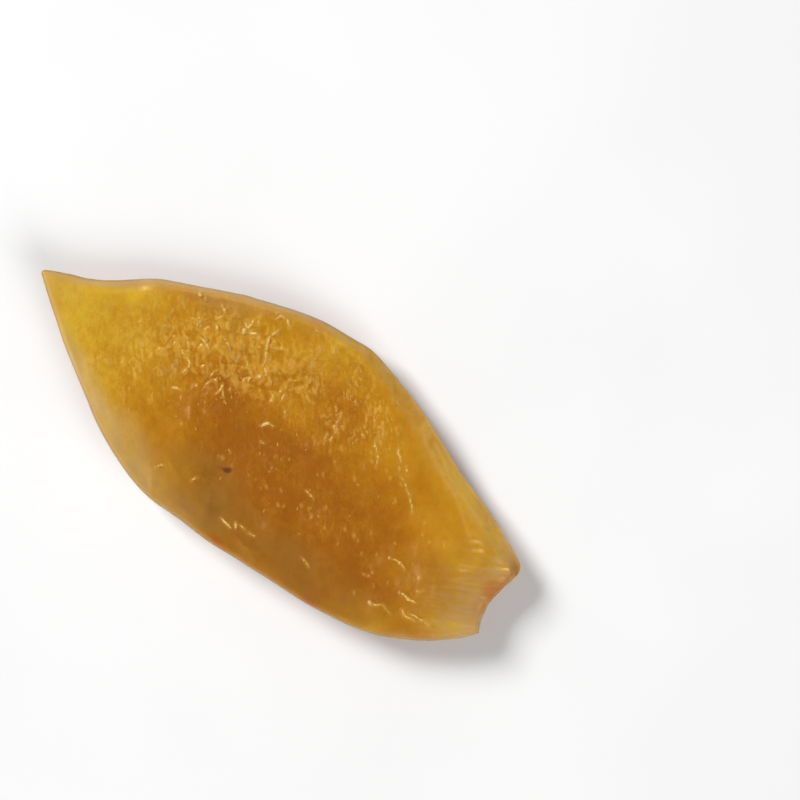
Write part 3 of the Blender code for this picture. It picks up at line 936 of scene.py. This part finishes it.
def make_fibres(skin, middle):
    chance = random.Random(SEED)
    fibres = Strands(skin, middle)
    for name, (points, width) in FIBRES.items():
        tone = PALE if name in PALEST else LESS_PALE
        fibres.add_fibre(curve_through(points), FIBRE_SLIMNESS * width * MM, tone, FIBRE_SIDES)
    for x, y in grainy_places(SCATTERED_FIBRES, chance):
        lean = SCRAPED + chance.uniform(-SCATTERED_LEAN, SCATTERED_LEAN)
        length = chance.uniform(*SCATTERED_LENGTH)
        share = np.linspace(-0.5, 0.5, SCATTERED_STOPS)[:, None]
        bow = chance.uniform(-SCATTERED_BOW, SCATTERED_BOW) * length * (share**2 - 0.25)
        forward, sideways = (math.cos(lean), math.sin(lean)), (-math.sin(lean), math.cos(lean))
        line = (x, y) + length * share * forward + bow * sideways
        width = chance.uniform(*SCATTERED_WIDTH)
        fibres.add_fibre(line, width, chance.uniform(*SCATTERED_TONE), SCATTERED_SIDES)
    fibres.finish("peel_fibres", fibre_material())


def make_specks(skin, middle):
    chance = random.Random(SEED + 1)
    specks = Strands(skin, middle)
    bead = round_bead()
    for right, down, share in SPECKS:
        tone, stretch = chance.uniform(*SPECK_TONE), chance.uniform(*SPECK_STRETCH)
        if share >= BEAD_LEAST:
            specks.add_speck(*seen_at((right, down)), share * SPECK_WIDTH, tone, stretch, bead)
    for x, y in grainy_places(SCATTERED_SPECKS, chance):
        width, tone = chance.uniform(*SCATTERED_SPECK_WIDTH), chance.uniform(*SCATTERED_TONE)
        specks.add_speck(x, y, width, tone, chance.uniform(*SCATTERED_STRETCH), bead)
    specks.finish("peel_specks", fibre_material())


def feed(tree, socket, value):
    """Gives an input a value, a link from an output, or, by its name, what the mesh stores."""
    if isinstance(value, str):
        value = add_node(tree, "ShaderNodeAttribute", {"attribute_name": value}).outputs["Fac"]
    if isinstance(value, bpy.types.NodeSocket):
        tree.links.new(value, socket)
    else:
        socket.default_value = value


def add_node(tree, kind, settings=None, inputs=None):
    node = tree.nodes.new(kind)
    for name, value in (settings or {}).items():
        setattr(node, name, value)
    for name, value in (inputs or {}).items():
        feed(tree, node.inputs[name], value)
    return node


def reckon(tree, operation, first, second, clamp=False):
    settings = {"operation": operation, "use_clamp": clamp}
    return add_node(tree, "ShaderNodeMath", settings, {0: first, 1: second}).outputs[0]


def plus(tree, first, second, clamp=False):
    return reckon(tree, "ADD", first, second, clamp)


def times(tree, first, second, clamp=False):
    return reckon(tree, "MULTIPLY", first, second, clamp)


def larger(tree, first, second):
    return reckon(tree, "MAXIMUM", first, second)


def span(tree, value, low, high, to_low=0.0, to_high=1.0):
    """The value carried from one span to another, smoothly, and held at its ends."""
    settings = {"interpolation_type": "SMOOTHSTEP"}
    inputs = {"Value": value, "From Min": low, "From Max": high, "To Min": to_low, "To Max": to_high}
    return add_node(tree, "ShaderNodeMapRange", settings, inputs).outputs["Result"]


def mixed(tree, share, first, second):
    """A colour between two. In a Mix node of colours, they go into the sockets 6 and 7."""
    inputs = {0: share, 6: first, 7: second}
    return add_node(tree, "ShaderNodeMix", {"data_type": "RGBA"}, inputs).outputs[2]


def cloud(tree, place, size, detail=2.0, roughness=0.5, stretch=1.0, turn=SCRAPED):
    """Noise from 0 to 1, with lumps of about that size, in metres, drawn out by stretch along turn."""
    laid = {"Vector": place, "Rotation": (0, 0, turn)}
    laid = add_node(tree, "ShaderNodeMapping", {"vector_type": "TEXTURE"}, laid).outputs["Vector"]
    sized = {0: laid, 1: (1 / size / stretch, 1 / size, 1 / size)}
    sized = add_node(tree, "ShaderNodeVectorMath", {"operation": "MULTIPLY"}, sized).outputs[0]
    inputs = {"Vector": sized, "Scale": 1.0, "Detail": detail, "Roughness": roughness}
    return add_node(tree, "ShaderNodeTexNoise", {"normalize": True}, inputs).outputs["Fac"]


def colour_ramp(tree, share, stops):
    node = add_node(tree, "ShaderNodeValToRGB", inputs={"Fac": share})
    ramp_stops = node.color_ramp.elements
    while len(ramp_stops) < len(stops):
        ramp_stops.new(0.5)
    for stop, (place, colour) in zip(ramp_stops, stops):
        stop.position = place
        stop.color = colour
    return node.outputs["Color"]


def new_material(name):
    material = bpy.data.materials.new(name)
    material.use_nodes = True
    return material, material.node_tree, material.node_tree.nodes["Principled BSDF"]


def bumped(tree, height, distance, normal=None):
    inputs = {"Height": height, "Distance": distance, "Strength": 1.0}
    if normal:
        inputs["Normal"] = normal
    return add_node(tree, "ShaderNodeBump", inputs=inputs).outputs["Normal"]


def candied(shader, subsurface, scale, coat, coat_roughness):
    """What is the same all over a candied surface: light that soaks in, and a syrup gloss on top."""
    shader.inputs["Subsurface Weight"].default_value = subsurface
    shader.inputs["Subsurface Radius"].default_value = SOAK_RADIUS
    shader.inputs["Subsurface Scale"].default_value = scale
    shader.inputs["IOR"].default_value = SYRUP_IOR
    shader.inputs["Specular IOR Level"].default_value = SPECULAR_LEVEL
    shader.inputs["Specular Tint"].default_value = SYRUP_GLOSS
    shader.inputs["Coat Weight"].default_value = coat
    shader.inputs["Coat Roughness"].default_value = coat_roughness
    shader.inputs["Coat IOR"].default_value = COAT_IOR


def pith_depth(tree, noises):
    """How deep the pith's colour is, from 0 for lemon to 1 for deep amber: partly its own colour, and partly
    painted shade, of a dark ground seen through it and in its folds, with painted light on its crests.
    """
    streaked = span(tree, noises["streaks"], *STREAK_DEPTH)
    streaked = plus(tree, streaked, span(tree, noises["crumbs"], *CRUMB_DEPTH))
    streaked = times(tree, streaked, span(tree, "coarse", *COARSE_SHARE))
    mottled = span(tree, noises["mottle"], *MOTTLE_DEPTH)
    mottled = plus(tree, mottled, span(tree, noises["blotch"], *BLOTCH_DEPTH))
    # partly painted shade in the folds and painted light on the crests
    pooled_and_shaded = times(tree, "grain", span(tree, "crest", *POOLED_AND_SHADED_DEPTH))
    return plus(tree, "depth", plus(tree, plus(tree, streaked, mottled), pooled_and_shaded), True)


def varied(tree, noises, name):
    """One of the skin's shares, made uneven by its noise."""
    noise_name, *spread = VARIED[name]
    return times(tree, name, span(tree, noises[noise_name], *spread))


def edged(tree, noises, pith):
    """The pith's colour with its paler places, its dry edges and cuts, and painted shade along its outermost
    rim and on the rim of its trimmed end.
    """
    pallor = plus(tree, varied(tree, noises, "pallor"), varied(tree, noises, "frayed"), True)
    pale_pith = mixed(tree, "creamy", TAN, CREAM)
    pith = mixed(tree, pallor, pith, pale_pith)
    dry = larger(tree, varied(tree, noises, "brink"), varied(tree, noises, "dry_cut"))
    dry_pith = mixed(tree, larger(tree, pallor, "lip"), WARM_TAN, pale_pith)
    pith = mixed(tree, dry, pith, dry_pith)
    pith = mixed(tree, times(tree, "rim_shade", RIM_SHADE_SHARE), pith, RIM_SHADE)
    return mixed(tree, varied(tree, noises, "end_shade"), pith, END_SHADE)


def paleness(tree, noises, depth):
    """How much paler crests, flecks, specks, ridges and folds are than the pith round them: partly their own
    paler colour and partly painted highlight.
    """
    pale = span(tree, "crest", *CREST_SPAN)
    pale = times(tree, pale, span(tree, noises["streaks"], *CREST_SHARE))
    flecks = times(tree, noises["flecks"], span(tree, depth, *FLECK_SHARE))
    glint_marks, ridges = times(tree, "glint_mark", GLINT_MARK_SHARE), times(tree, "ridge", RIDGE_SHARE)
    for other in (flecks, glint_marks, ridges, varied(tree, noises, "lifted")):
        pale = larger(tree, pale, other)
    return pale


def pith_colour(tree, noises):
    depth = pith_depth(tree, noises)
    # The darker olive places are partly painted shade
    pith = mixed(tree, varied(tree, noises, "sallow_and_shade"), colour_ramp(tree, depth, DEPTH_STOPS), SALLOW_AND_SHADE)
    pith = mixed(tree, paleness(tree, noises, depth), edged(tree, noises, pith), CREST)
    # the smudge's stain, and painted shade on the rim of the trimmed end
    pith = mixed(tree, varied(tree, noises, "stain_and_shade"), pith, STAINED_AND_SHADED)
    pith = mixed(tree, varied(tree, noises, "blush"), pith, BLUSHED)
    return mixed(tree, "spot", pith, SCORCHED)


def zest_colour(tree, noises, glands):
    ripe = times(tree, span(tree, glands, *RIPE_BY_GLAND), span(tree, noises["mottle"], *RIPE_BY_MOTTLE))
    return mixed(tree, ripe, ZEST_DEEP, ZEST)


def skin_normal(tree, noises, glands):
    """Bumps that are too small for the mesh, from the pith's streaks to the zest's oil glands."""
    on_pith = reckon(tree, "SUBTRACT", 1.0, "zest")
    uneven = larger(tree, "grain", "crest")
    crumbly = times(tree, noises["crumbs"], span(tree, "coarse", *CRUMBLY_SPAN))
    bumps = (
        (times(tree, noises["streaks"], times(tree, uneven, on_pith)), STREAK_BUMP),
        (times(tree, noises["flecks"], on_pith), FLECK_BUMP),
        (times(tree, crumbly, on_pith), CRUMB_BUMP),
        (times(tree, noises["blotch"], "cut"), CUT_BUMP),
        (times(tree, span(tree, glands, *GLAND_SPAN), "zest"), GLAND_BUMP),
    )
    normal = None
    for height, distance in bumps:
        normal = bumped(tree, height, distance, normal)
    return normal


def skin_material():
    material, tree, shader = new_material("candied_skin")
    place = add_node(tree, "ShaderNodeTexCoord").outputs["Object"]
    noises = {name: cloud(tree, place, *kind) for name, kind in NOISES.items()}
    noises["flecks"] = times(tree, span(tree, noises["flecks"], *FLECK_SPAN), "dashed")
    settings = {"Vector": place, "Scale": 1 / GLAND_SIZE, "Smoothness": GLAND_SMOOTHNESS}
    glands = add_node(tree, "ShaderNodeTexVoronoi", {"feature": "SMOOTH_F1"}, settings).outputs["Distance"]
    colour = mixed(tree, "zest", pith_colour(tree, noises), zest_colour(tree, noises, glands))
    feed(tree, shader.inputs["Base Color"], colour)

    dry = larger(tree, "brink", times(tree, "cut", CUT_DRYNESS))
    dry = larger(tree, dry, larger(tree, "spot", "end_shade"))
    rough = span(tree, noises["crumbs"], *ROUGHNESS_SPAN)
    feed(tree, shader.inputs["Roughness"], plus(tree, rough, times(tree, dry, DRY_ROUGHNESS)))
    normal = skin_normal(tree, noises, glands)
    feed(tree, shader.inputs["Normal"], normal)
    feed(tree, shader.inputs["Coat Normal"], normal)
    candied(shader, SKIN_SOAK, SKIN_SOAK_SCALE, SKIN_COAT, SKIN_COAT_ROUGHNESS)
    feed(tree, shader.inputs["Coat Weight"], span(tree, dry, 0.0, 1.0, SKIN_COAT, 0.0))
    return material


def fibre_material():
    material, tree, shader = new_material("candied_fibre")
    place = add_node(tree, "ShaderNodeTexCoord").outputs["Object"]
    blotch = cloud(tree, place, *FIBRE_BLOTCH)
    share = plus(tree, "tone", span(tree, blotch, *FIBRE_TONE_SPAN), True)
    feed(tree, shader.inputs["Base Color"], colour_ramp(tree, share, FIBRE_STOPS))
    feed(tree, shader.inputs["Roughness"], span(tree, blotch, *FIBRE_ROUGHNESS_SPAN))
    feed(tree, shader.inputs["Normal"], bumped(tree, blotch, FIBRE_BUMP))
    candied(shader, 0.0, FIBRE_SOAK_SCALE, FIBRE_COAT, FIBRE_COAT_ROUGHNESS)
    return material


def floor_material():
    material, tree, shader = new_material("floor")
    place = add_node(tree, "ShaderNodeTexCoord").outputs["Object"]
    tone = span(tree, cloud(tree, place, FLOOR_MOTTLE), *FLOOR_SPAN)
    feed(tree, shader.inputs["Base Color"], mixed(tree, tone, BLACK, FLOOR))
    shader.inputs["Roughness"].default_value = FLOOR_ROUGHNESS
    shader.inputs["Specular IOR Level"].default_value = 0.0
    return material


def make_floor():
    mesh = bpy.data.meshes.new("floor")
    corners = [(FLOOR_REACH * p, FLOOR_REACH * q, 0) for p, q in ((-1, -1), (1, -1), (1, 1), (-1, 1))]
    mesh.from_pydata(corners, [], [(0, 1, 2, 3)])
    mesh.materials.append(floor_material())
    floor = placed("floor", mesh)


def make_camera(middle):
    lens = bpy.data.cameras.new("camera")
    lens.sensor_width = SENSOR
    lens.lens = SENSOR * (CAMERA_HEIGHT - PEEL_HEIGHT) / IMAGE_WIDTH
    lens.clip_start = CLIP_START
    camera = placed("camera", lens)
    camera.location = (IMAGE_MIDDLE[0] + NOSE - middle[0], IMAGE_MIDDLE[1] - middle[1], CAMERA_HEIGHT)
    camera.rotation_euler = (0, 0, IMAGE_TURN)
    bpy.context.scene.camera = camera


def make_light(name, bearing, height, away, size, power):
    """A square soft light that faces the peel. Its bearing is from the image's right, anticlockwise."""
    lamp = bpy.data.lights.new(name, "AREA")
    lamp.size = size
    lamp.energy = power
    light = placed(name, lamp)
    turn = bearing + IMAGE_TURN
    towards = Vector((math.cos(turn) * math.cos(height), math.sin(turn) * math.cos(height), math.sin(height)))
    light.location = away * towards
    light.rotation_euler = towards.to_track_quat("Z", "Y").to_euler()


def make_world():
    world = bpy.data.worlds.new("room")
    world.use_nodes = True
    background = world.node_tree.nodes["Background"]
    background.inputs["Color"].default_value = (WORLD_GREY, WORLD_GREY, WORLD_GREY, 1)
    background.inputs["Strength"].default_value = WORLD_STRENGTH
    bpy.context.scene.world = world


skin, middle = make_skin()
skin.data.materials.append(skin_material())
make_fibres(skin, middle)
make_specks(skin, middle)
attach(skin, "root")
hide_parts("lemon_peel")

make_floor()
make_camera(middle)
make_light("main light", MAIN_FROM, MAIN_UP, MAIN_AWAY, MAIN_SIZE, MAIN_POWER)
make_light("fill light", FILL_FROM, FILL_UP, FILL_AWAY, FILL_SIZE, FILL_POWER)
make_world()
bpy.context.scene.view_settings.view_transform = "Standard"
